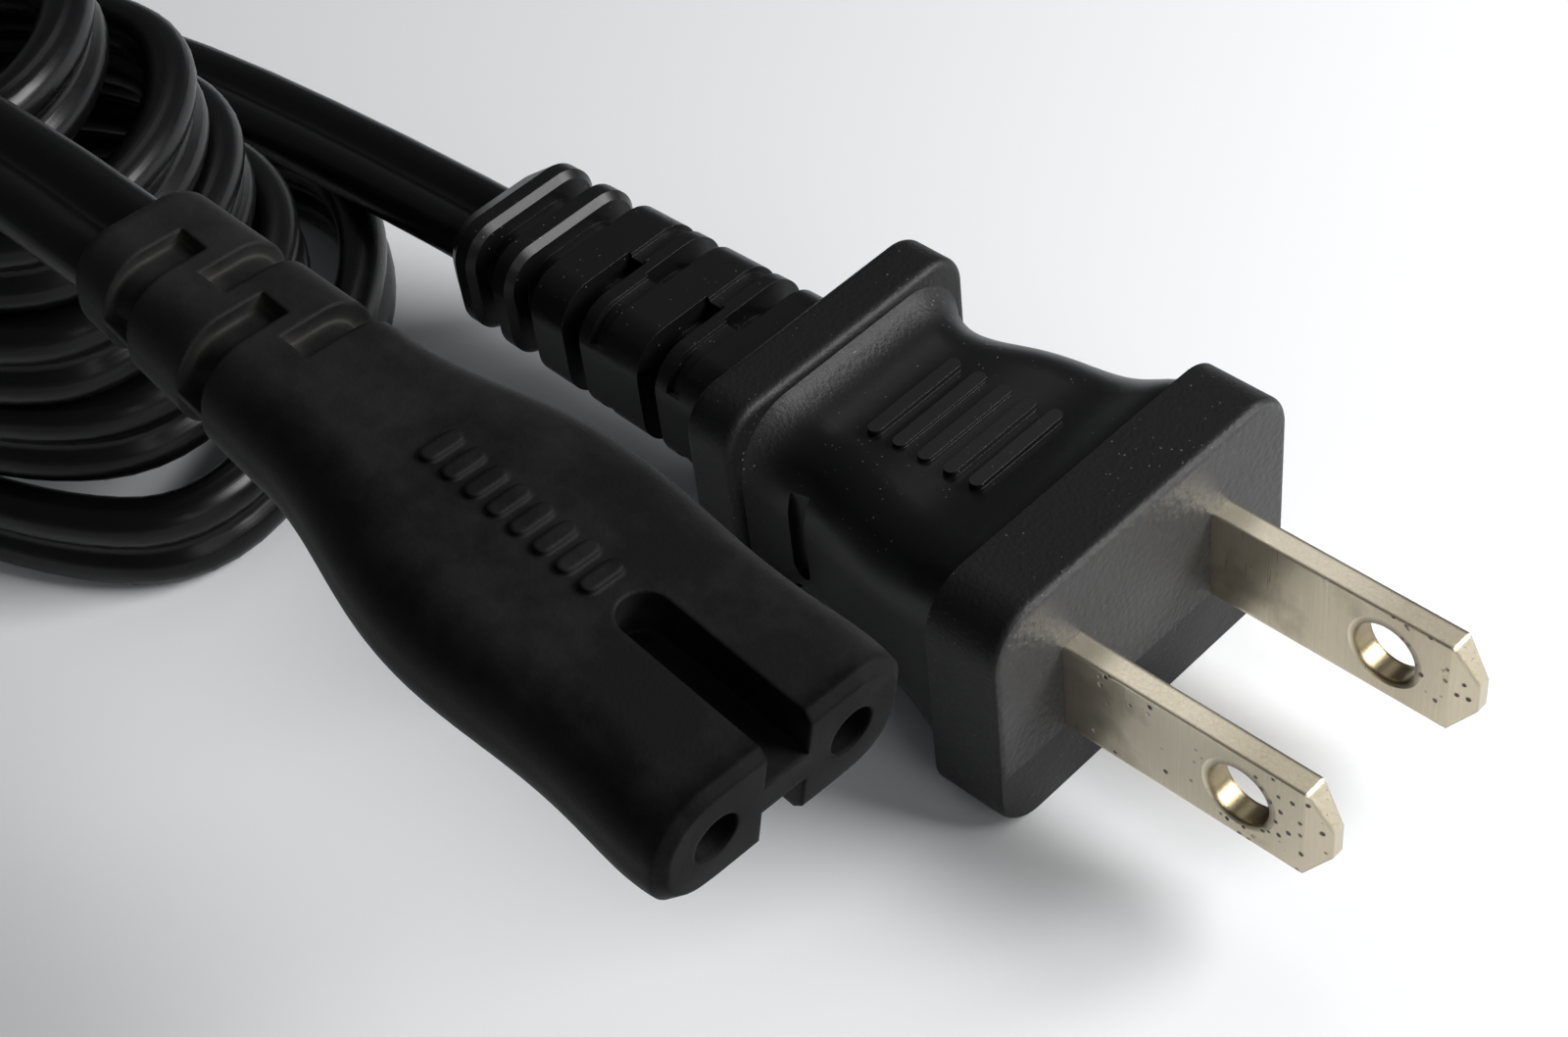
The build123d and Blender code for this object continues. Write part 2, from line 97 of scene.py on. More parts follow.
# Each turn in mm of the hank: along, across, height; far fold, near side, near fold, far side
hankTurns = [
    [(-55.5, 9, 3.2), (-60.5, -4, 3.2), (-56, -15.5, 3.2), (-44, -19.5, 3.2), (-30, -16.5, 3.2),
     (-16, -10, 3.3), (-5, -7, 3.4), (6, -7, 3.4), (20, -9.5, 3.4), (38, -15.5, 3.3), (53, -19, 3.3),
     (62, -17.5, 3.3), (65, -5, 3.3), (64, 8, 3.3), (58, 17, 3.3), (47, 17.5, 3.3), (36, 14.5, 3.3),
     (20, 9.5, 3.4), (6, 7, 3.4), (-5, 7, 3.4), (-17, 9.5, 3.3), (-30, 13, 3.3)],
    [(-42, 16, 3.3), (-52.5, 13, 3.3), (-56.5, 0, 3.3), (-52, -13, 3.3), (-41, -16, 3.3),
     (-29, -12.5, 3.3), (-16, -6.5, 3.3), (-5, -3.6, 3.4), (6, -3.6, 3.6), (20, -7, 5.5), (36, -13, 8.6),
     (50, -17, 9.7), (59, -15, 9.7), (62, -5, 9.7), (60.5, 4, 9.7), (54, 10, 9.7), (43, 10.5, 9.7),
     (32, 8.5, 8.5), (19, 5.5, 5.2), (6, 3.6, 3.5), (-5, 3.6, 3.4), (-17, 7, 4.6), (-30, 13.5, 8)],
    [(-43, 18.5, 9.7), (-56, 15, 9.7), (-61, 0, 9.7), (-56, -15.5, 9.7), (-44, -19, 9.7),
     (-30, -15.5, 9.7), (-16, -9.5, 9.8), (-5, -7, 9.9), (6, -7, 10), (20, -9.5, 12), (36, -14, 15.2),
     (50, -17, 16.1), (57.5, -15, 16.1), (60, -5, 16.1), (58, 4.5, 16.1), (51, 9, 16.1), (41, 9.5, 16),
     (31, 9, 14.5), (19, 8, 11.8), (6, 7, 10), (-5, 7, 9.9), (-17, 8.5, 9.8), (-30, 12.5, 9.8)],
    [(-41, 15.5, 9.8), (-52, 12, 9.8), (-56.5, 0, 9.8), (-52, -13, 9.8), (-41, -15.5, 9.8),
     (-28, -12, 9.8), (-16, -6, 9.8), (-5, -3.6, 9.9), (6, -3.6, 10.3), (20, -7, 14.5), (36, -13, 21.4),
     (50, -16, 22.5), (57, -14, 22.5), (59, -5, 22.5), (56.5, 3.5, 22.5), (50, 7, 22.5), (40, 7.5, 22),
     (31, 6.5, 19), (19, 4.5, 13), (6, 3.6, 10.2), (-5, 3.6, 9.9), (-17, 6.5, 10.8), (-30, 13, 14.8)],
    [(-42, 17.5, 16.2), (-55, 14, 16.2), (-60, 0, 16.2), (-55, -14, 16.2), (-43, -17.5, 16.2),
     (-30, -14, 16.2), (-16, -9, 16.3), (-5, -7, 16.4), (6, -7, 16.8), (20, -9.5, 20.5), (34, -13.5, 26.5),
     (46, -15, 28.9), (53, -13, 28.9), (54.5, -5, 28.9), (51.5, 3, 28.9), (45, 6, 28.6), (36, 6, 26.5),
     (24, 6.5, 21.5), (6, 7, 16.6), (-5, 7, 16.4), (-17, 9, 16.3), (-30, 13.5, 16.3)],
]
lastFold = [
    ((-42, 14.5, 16.4), 1.57),
    ((-51, 11, 16.6), 1.57),
    ((-55, 0, 17), 1.57),
    ((-51, -11.5, 18.5), 1.5),
    ((-41, -14, 20.5), 1.2),
    ((-27, -10, 23.4), 0.7),
    ((-16, -6, 24.4), 0.3),
]
connectorRun = [
    ((-0.1037, -0.0475, 0.0244), 0.05),
    ((-0.0847, -0.0410, 0.0272), 0.0),
    ((-0.0617, -0.0345, 0.0348), 0.0),
    ((-0.03206, -0.03161, 0.03661), 0.075),
    ((-0.00636, -0.03188, 0.03271), 0.075),
]


def atHank(point, settings):
    along = Vector(settings["along"]).normalized()
    square = Vector((-along.y, along.x, 0.0))
    place = Vector(settings["middle"]) + along * point[0] * mm + square * point[1] * mm
    return (place.x, place.y, point[2] * mm)


def nurbsCurve(name, line, steps):
    curve = bpy.data.curves.new(name, "CURVE")
    curve.dimensions = "3D"
    curve.twist_mode = "Z_UP"
    curve.resolution_u = steps
    spline = curve.splines.new("NURBS")
    spline.points.add(len(line) - 1)
    for point, (place, tilt) in zip(spline.points, line):
        point.co = (*place, 1.0)
        point.tilt = tilt
    spline.order_u = 3
    spline.use_endpoint_u = True
    curveObject = bpy.data.objects.new(name, curve)
    bpy.context.scene.collection.objects.link(curveObject)
    return curveObject


def polyProfile(name, outline):
    curve = bpy.data.curves.new(name, "CURVE")
    curve.dimensions = "2D"
    curve.fill_mode = "NONE"
    spline = curve.splines.new("POLY")
    spline.points.add(len(outline) - 1)
    for point, (x, y) in zip(spline.points, outline):
        point.co = (x, y, 0.0, 1.0)
    spline.use_cyclic_u = True
    curveObject = bpy.data.objects.new(name, curve)
    bpy.context.scene.collection.objects.link(curveObject)
    return curveObject


def evaluatedMesh(curveObject):
    bpy.context.view_layer.update()
    depsgraph = bpy.context.evaluated_depsgraph_get()
    return bpy.data.meshes.new_from_object(curveObject.evaluated_get(depsgraph))


def flatTwinOutline(settings):
    radius = settings["thickness"] / 2
    offset = settings["width"] / 2 - radius
    mouth = math.pi - math.acos((offset - settings["grooveHalf"]) / radius)
    outline = []
    for side in (1, -1):
        for i in range(settings["arcSteps"] + 1):
            angle = mouth * (1 - 2 * i / settings["arcSteps"])
            outline.append((side * (offset + radius * math.cos(angle)), side * radius * math.sin(angle)))
        outline.append((0.0, -side * settings["webHalf"]))
    return outline


# Gives the tube and the points that it follows
def sweepMesh(name, line, outline, steps):
    track = nurbsCurve(name + "Track", line, steps)
    bare = evaluatedMesh(track)
    path = [tuple(vertex.co) for vertex in bare.vertices]
    profile = polyProfile(name + "Profile", outline)
    track.data.bevel_mode = "OBJECT"
    track.data.bevel_object = profile
    track.data.use_fill_caps = True
    mesh = evaluatedMesh(track)
    mesh.name = name
    for helper in (track, profile):
        data = helper.data
        bpy.data.objects.remove(helper)
        bpy.data.curves.remove(data)
    bpy.data.meshes.remove(bare)
    tidy = bmesh.new()
    tidy.from_mesh(mesh)
    bmesh.ops.remove_doubles(tidy, verts=tidy.verts, dist=1e-6)
    bmesh.ops.recalc_face_normals(tidy, faces=tidy.faces)
    for face in tidy.faces:
        face.smooth = True
    tidy.to_mesh(mesh)
    tidy.free()
    tube = bpy.data.objects.new(name, mesh)
    bpy.context.scene.collection.objects.link(tube)
    return tube, path


def makeLead():
    line = list(plugRun)
    for turn in hankTurns:
        line += [(atHank(point, hankSettings), leadSettings["onEdge"]) for point in turn]
    line += [(atHank(point, hankSettings), tilt) for point, tilt in lastFold]
    line += connectorRun
    lead, path = sweepMesh("flatLead", line, flatTwinOutline(leadSettings), leadSettings["stepsPerPoint"])
    run = sum(math.dist(a, b) for a, b in zip(path, path[1:]))
    print("lead length", round(run, 4), "points", len(path), "faces", len(lead.data.polygons))
    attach(lead, "root")
    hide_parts("plug_lead", "socket_lead", "cord_hank")
    return lead


lead = makeLead()
print("lead laid")


# Wire tie round the waist of the hank
tieSettings = {
    "width": 3.6,
    "thickness": 0.5,
    "wire": 0.9,
    "wireCrown": 0.6,     # how wide the bead over the wire stays at its top
    "halfAcross": 9.45,
    "bottom": 0.45,
    "top": 20.45,
    "corner": 5.0,
    "cornerPull": 0.15,
    "mouth": 3.0,         # half the gap where the two ends leave the band
    "tailUp": 12.0,
    "tailFrom": 0.8,
    "tailLength": 15.0,
    "tailDrop": 0.35,
    "twistApart": 0.5,
    "twistTurns": 3,
    "stepsPerTwist": 8,
    "stepsPerPoint": 5,
}


def ribbonOutline(settings):
    half = settings["width"] / 2 * mm
    flat = settings["thickness"] / 2 * mm
    bead = settings["wire"] / 2 * mm
    quarter = [(half, 0.0), (half - flat, flat), (bead, flat),
               (bead * settings["wireCrown"], bead)]
    upper = quarter + [(-x, y) for x, y in reversed(quarter)]
    return upper + [(x, -y) for x, y in reversed(upper[1:-1])]


def makeTie(settings):
    side = settings["halfAcross"]
    low = settings["bottom"]
    high = settings["top"]
    corner = settings["corner"]
    rounded = settings["cornerPull"] * corner
    up = settings["tailUp"]
    mouth = settings["mouth"]
    apart = settings["twistApart"]
    steps = settings["twistTurns"] * settings["stepsPerTwist"]
    drop = math.hypot(1.0, settings["tailDrop"])
    strands = []
    for phase in (0.0, math.pi):
        strand = []
        for i in range(steps + 1):
            turned = phase + 2 * math.pi * i / settings["stepsPerTwist"]
            out = settings["tailFrom"] + (settings["tailLength"] - settings["tailFrom"]) * i / steps
            place = (
                apart * math.cos(turned),
                -side - (out - apart * math.sin(turned) * settings["tailDrop"]) / drop,
                up - (out * settings["tailDrop"] - apart * math.sin(turned)) / drop,
            )
            strand.append((atHank(place, hankSettings), turned))
        strands.append(strand)
    loop = [
        (-side, up - mouth), (-side, low + corner), (-side, low + rounded), (corner - side, low), (0, low),
        (side - corner, low), (side, low + rounded), (side, low + corner), (side, high - corner),
        (side, high - rounded), (side - corner, high), (0, high), (corner - side, high),
        (-side, high - rounded), (-side, high - corner), (-side, up + mouth),
    ]
    band = [(atHank((0.0, across, height), hankSettings), 0.0) for across, height in loop]
    line = list(reversed(strands[0])) + band + strands[1]
    tie = sweepMesh("wireTie", line, ribbonOutline(settings), settings["stepsPerPoint"])[0]
    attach(tie, "root")
    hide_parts("cord_tie")
    return tie


tie = makeTie(tieSettings)
print("tie wrapped")


# Materials
def linearColour(hexValue):
    channels = [int(hexValue[i:i + 2], 16) / 255 for i in (1, 3, 5)]
    return tuple(c / 12.92 if c <= 0.04045 else ((c + 0.055) / 1.055) ** 2.4 for c in channels) + (1.0,)


def addNode(tree, kind, settings=None, links=None):
    node = tree.nodes.new(kind)
    for key, value in (settings or {}).items():
        if isinstance(key, str) and hasattr(node, key):
            setattr(node, key, value)
        else:
            node.inputs[key].default_value = value
    for key, source in (links or {}).items():
        tree.links.new(source, node.inputs[key])
    return node


def newMaterial(name):
    material = bpy.data.materials.new(name)
    material.use_nodes = True
    material.node_tree.nodes.clear()
    return material, material.node_tree


def finishMaterial(tree, shader):
    addNode(tree, "ShaderNodeOutputMaterial", links={"Surface": shader.outputs["BSDF"]})


def setRamp(ramp, stops):
    elements = ramp.color_ramp.elements
    while len(elements) < len(stops):
        elements.new(0.5)
    for element, (position, colour) in zip(elements, stops):
        element.position = position
        element.color = colour


def grey(value):
    return (value, value, value, 1.0)


# Injection-moulded PVC, from a steel mould spark-eroded at the rim, collar and face, polished on the grip:
# near-black and satin, frosted where the mould was left rough, with a hide-like face painted paler (a painted
# sheen for the light it catches) and a few specks of dust. Sizes and places along the plug in mm; the real
# grain is finer, and is drawn so that it shows
plugPvc = {
    "colour": "#0e0e0f",
    # face: painted sheen, the front face painted paler for the light falling on it
    "face": "#303030",
    "dustAndPaintedLight": "#62625f",
    "specular": 0.26,
    "roughnessGrip": 0.33,
    "roughnessGrain": 0.5,
    "grainSize": 0.28,
    "grainDepth": 0.06,
    "hideSize": 0.45,
    "hideDepth": 0.1,
    "rippleSize": 4.0,
    "rippleDepth": 0.05,
    "speckCell": 0.55,
    "speckPatch": 3.5,
    "edge": 0.05,
    "faceFrom": 17.5,
    "rimFrom": 12.75,
    "collarFrom": -7.85,
    "collarTo": -3.5,
    "grainFade": 1.8,
}


def makePlugPvc(settings):
    material, tree = newMaterial("mouldedPvcSatin")
    place = addNode(tree, "ShaderNodeTexCoord").outputs["Object"]
    split = addNode(tree, "ShaderNodeSeparateXYZ", links={0: place})
    inRim = addNode(tree, "ShaderNodeMath", {"operation": "GREATER_THAN", 1: settings["rimFrom"] * mm},
                    {0: split.outputs["X"]})
    pastRelief = addNode(tree, "ShaderNodeMath", {"operation": "GREATER_THAN", 1: settings["collarFrom"] * mm},
                         {0: split.outputs["X"]})
    fadeTo = settings["collarTo"] + settings["grainFade"]
    beforeGrip = addNode(tree, "ShaderNodeMapRange", {"From Min": settings["collarTo"] * mm,
                                                      "From Max": fadeTo * mm,
                                                      "To Min": 1.0, "To Max": 0.0},
                         {"Value": split.outputs["X"]})
    inCollar = addNode(tree, "ShaderNodeMath", {"operation": "MULTIPLY"},
                       {0: pastRelief.outputs[0], 1: beforeGrip.outputs[0]})
    grained = addNode(tree, "ShaderNodeMath", {"operation": "MAXIMUM"},
                      {0: inRim.outputs[0], 1: inCollar.outputs[0]})
    grain = addNode(tree, "ShaderNodeTexNoise", {"Scale": 1 / (settings["grainSize"] * mm), "Detail": 3.0,
                                                 "Roughness": 0.6}, {"Vector": place})
    specks = addNode(tree, "ShaderNodeTexVoronoi", {"Scale": 1 / (settings["speckCell"] * mm)},
                     {"Vector": place})
    speckRamp = addNode(tree, "ShaderNodeValToRGB", links={0: specks.outputs["Distance"]})
    setRamp(speckRamp, [(0.04, grey(1)), (0.13, grey(0))])
    rarely = addNode(tree, "ShaderNodeTexNoise", {"Scale": 1 / (settings["speckPatch"] * mm), "Detail": 2.0},
                     {"Vector": place})
    rareRamp = addNode(tree, "ShaderNodeValToRGB", links={0: rarely.outputs["Fac"]})
    setRamp(rareRamp, [(0.44, grey(0)), (0.62, grey(1))])
    speckMask = addNode(tree, "ShaderNodeMath", {"operation": "MULTIPLY"},
                        {0: speckRamp.outputs["Color"], 1: rareRamp.outputs["Color"]})
    onFace = addNode(tree, "ShaderNodeMath", {"operation": "GREATER_THAN", 1: settings["faceFrom"] * mm},
                     {0: split.outputs["X"]})
    # painted sheen: the front face gets the paler face colour, standing in for the light it catches
    mouldingWithFaceSheen = addNode(tree, "ShaderNodeMix", {"data_type": "RGBA", 6: linearColour(settings["colour"]),
                                               7: linearColour(settings["face"])}, {0: onFace.outputs[0]})
    colour = addNode(tree, "ShaderNodeMix", {"data_type": "RGBA", 7: linearColour(settings["dustAndPaintedLight"])},
                     {0: speckMask.outputs[0], 6: mouldingWithFaceSheen.outputs[2]})
    roughness = addNode(tree, "ShaderNodeMapRange", {"To Min": settings["roughnessGrip"],
                                                     "To Max": settings["roughnessGrain"]},
                        {"Value": grained.outputs[0]})
    height = addNode(tree, "ShaderNodeMath", {"operation": "MULTIPLY"},
                     {0: grain.outputs["Fac"], 1: grained.outputs[0]})
    edge = addNode(tree, "ShaderNodeBevel", {"samples": 6, "Radius": settings["edge"] * mm})
    ripple = addNode(tree, "ShaderNodeTexNoise", {"Scale": 1 / (settings["rippleSize"] * mm), "Detail": 1.0},
                     {"Vector": place})
    soft = addNode(tree, "ShaderNodeBump", {"Strength": 0.35, "Distance": settings["rippleDepth"] * mm},
                   {"Height": ripple.outputs["Fac"], "Normal": edge.outputs[0]})
    hide = addNode(tree, "ShaderNodeTexVoronoi", {"Scale": 1 / (settings["hideSize"] * mm),
                                                  "feature": "SMOOTH_F1"}, {"Vector": place})
    hideHeight = addNode(tree, "ShaderNodeMath", {"operation": "MULTIPLY"},
                         {0: hide.outputs["Distance"], 1: onFace.outputs[0]})
    leather = addNode(tree, "ShaderNodeBump", {"Strength": 0.7, "Distance": settings["hideDepth"] * mm,
                                               "invert": True},
                      {"Height": hideHeight.outputs[0], "Normal": soft.outputs[0]})
    bump = addNode(tree, "ShaderNodeBump", {"Strength": 0.8, "Distance": settings["grainDepth"] * mm},
                   {"Height": height.outputs[0], "Normal": leather.outputs[0]})
    shader = addNode(tree, "ShaderNodeBsdfPrincipled", {"Specular IOR Level": settings["specular"]},
                     {"Base Color": colour.outputs[2], "Roughness": roughness.outputs[0],
                      "Normal": bump.outputs[0]})
    finishMaterial(tree, shader)
    return material


# Injection-moulded PVC of a softer, matte grade: even fine frosting, paler towards the relief, with painted
# light in the slots there (hollows painted paler where their walls catch the light), and dull on the front,
# which another insert of the mould forms
connectorPvc = {
    "colour": "#0a0a0b",
    "scuff": "#262626",
    # painted light: this colour paints the slots of the relief paler, for the light on their walls
    "dustAndPaintedLight": "#3b3a38",
    "paleFrom": 6.0,
    "paleTo": -22.0,
    "cloudSize": 5.0,
    "hollow": 1.3,
    "slotLightFrom": 0.0,
    "slotLightTo": -5.0,
    "specular": 0.12,
    "specularFront": 0.04,
    "frontFrom": 22.3,
    "frontTo": 23.1,
    "roughness": 0.5,
    "roughnessSpread": 0.12,
    "grainSize": 0.2,
    "grainDepth": 0.02,
    "edge": 0.35,
}


def makeConnectorPvc(settings):
    material, tree = newMaterial("mouldedPvcMatte")
    place = addNode(tree, "ShaderNodeTexCoord").outputs["Object"]
    grain = addNode(tree, "ShaderNodeTexNoise", {"Scale": 1 / (settings["grainSize"] * mm), "Detail": 3.0},
                    {"Vector": place})
    cloud = addNode(tree, "ShaderNodeTexNoise", {"Scale": 1 / (settings["cloudSize"] * mm), "Detail": 5.0,
                                                 "Roughness": 0.65}, {"Vector": place})
    split = addNode(tree, "ShaderNodeSeparateXYZ", links={0: place})
    # paler towards the relief, through the scuff colour
    paleTowardsRelief = addNode(tree, "ShaderNodeMapRange", {"From Min": settings["paleFrom"] * mm,
                                                   "From Max": settings["paleTo"] * mm,
                                                   "To Min": -0.1, "To Max": 0.25},
                      {"Value": split.outputs["X"]})
    paleness = addNode(tree, "ShaderNodeMath", {"operation": "ADD"},
                   {0: cloud.outputs["Fac"], 1: paleTowardsRelief.outputs[0]})
    scuff = addNode(tree, "ShaderNodeValToRGB", links={0: paleness.outputs[0]})
    setRamp(scuff, [(0.35, grey(0)), (0.95, grey(1))])
    clean = addNode(tree, "ShaderNodeMix", {"data_type": "RGBA", 6: linearColour(settings["colour"]),
                                            7: linearColour(settings["scuff"])}, {0: scuff.outputs["Color"]})
    # painted light: hollows in the relief are painted paler, standing in for light on the slot walls
    hollow = addNode(tree, "ShaderNodeAmbientOcclusion", {"samples": 4, "only_local": True,
                                                          "Distance": settings["hollow"] * mm})
    slotLight = addNode(tree, "ShaderNodeValToRGB", links={0: hollow.outputs["AO"]})
    setRamp(slotLight, [(0.35, grey(1)), (0.75, grey(0))])
    inRelief = addNode(tree, "ShaderNodeMapRange", {"From Min": settings["slotLightFrom"] * mm,
                                                    "From Max": settings["slotLightTo"] * mm},
                       {"Value": split.outputs["X"]})
    dustAndPaintedLight = addNode(tree, "ShaderNodeMath", {"operation": "MULTIPLY"},
                   {0: slotLight.outputs["Color"], 1: inRelief.outputs[0]})
    colour = addNode(tree, "ShaderNodeMix", {"data_type": "RGBA", 7: linearColour(settings["dustAndPaintedLight"])},
                     {0: dustAndPaintedLight.outputs[0], 6: clean.outputs[2]})
    roughest = settings["roughness"] + settings["roughnessSpread"]
    roughness = addNode(tree, "ShaderNodeMapRange", {"To Min": settings["roughness"], "To Max": roughest},
                        {"Value": cloud.outputs["Fac"]})
    edge = addNode(tree, "ShaderNodeBevel", {"samples": 6, "Radius": settings["edge"] * mm})
    bump = addNode(tree, "ShaderNodeBump", {"Strength": 0.7, "Distance": settings["grainDepth"] * mm},
                   {"Height": grain.outputs["Fac"], "Normal": edge.outputs[0]})
    specular = addNode(tree, "ShaderNodeMapRange", {"From Min": settings["frontFrom"] * mm,
                                                    "From Max": settings["frontTo"] * mm,
                                                    "To Min": settings["specular"],
                                                    "To Max": settings["specularFront"]},
                       {"Value": split.outputs["X"]})
    shader = addNode(tree, "ShaderNodeBsdfPrincipled",
                     links={"Base Color": colour.outputs[2], "Roughness": roughness.outputs[0],
                            "Specular IOR Level": specular.outputs[0], "Normal": bump.outputs[0]})
    finishMaterial(tree, shader)
    return material


# Extruded PVC: glossier and blacker than the mouldings, with fine draw lines along it.
# Lines: how many patches along the lead, and how many lines round its 16 mm girth
flexPvc = {
    "colour": "#070708",
    "specular": 0.25,
    "roughness": 0.27,
    "cloudSize": 3.0,
    "lines": (2.0, 60.0, 1.0),
    "lineDepth": 0.03,
}


def makeFlexPvc(settings):
    material, tree = newMaterial("extrudedPvc")
    place = addNode(tree, "ShaderNodeTexCoord")
    stretch = addNode(tree, "ShaderNodeMapping", {"Scale": settings["lines"]}, {"Vector": place.outputs["UV"]})
    lines = addNode(tree, "ShaderNodeTexNoise", {"Scale": 1.0, "Detail": 2.0}, {"Vector": stretch.outputs[0]})
    cloud = addNode(tree, "ShaderNodeTexNoise", {"Scale": 1 / (settings["cloudSize"] * mm), "Detail": 3.0},
                    {"Vector": place.outputs["Object"]})
    roughness = addNode(tree, "ShaderNodeMapRange", {"To Min": settings["roughness"] - 0.05,
                                                     "To Max": settings["roughness"] + 0.1},
                        {"Value": cloud.outputs["Fac"]})
    bump = addNode(tree, "ShaderNodeBump", {"Strength": 0.6, "Distance": settings["lineDepth"] * mm},
                   {"Height": lines.outputs["Fac"]})
    shader = addNode(tree, "ShaderNodeBsdfPrincipled", {"Base Color": linearColour(settings["colour"]),
                                                        "Specular IOR Level": settings["specular"]},
                     {"Roughness": roughness.outputs[0], "Normal": bump.outputs[0]})
    finishMaterial(tree, shader)
    return material


# Stamped brass strip, nickel plated and brushed across: warm grey, edges and hole rolled over by the punch,
# with painted shade darkening the rolled rim round the hole, browner and pitted towards the tip, the nearer
# blade the more. Sizes and places in mm
bladeNickel = {
    "colour": "#f2e8d2",
    "dark": "#ddd4bc",
    "stain": "#75684b",
    "pit": "#3a2a1e",
    "roughness": 0.27,
    "brushGrain": 0.12,
    "brushLength": 5.0,
    "brushDepth": 0.01,
    "stainSize": 4.5,
    "tipBrowning": 0.4,
    "pitSpacing": 0.75,
    "pitDepth": 0.06,
    "pitPatch": 3.2,
    "pitsFrom": 25.5,
    "pitsTo": 30.5,
    "bladeOffset": 6.0,
    "holeAt": (29.38, 8.3),
    "holeRadius": 1.98,
    "rolledRim": 0.42,
    "rolledDepth": 0.25,
    # painted shade on the rolled rim round the hole
    "rimShade": 0.85,
    "edge": 0.32,
}


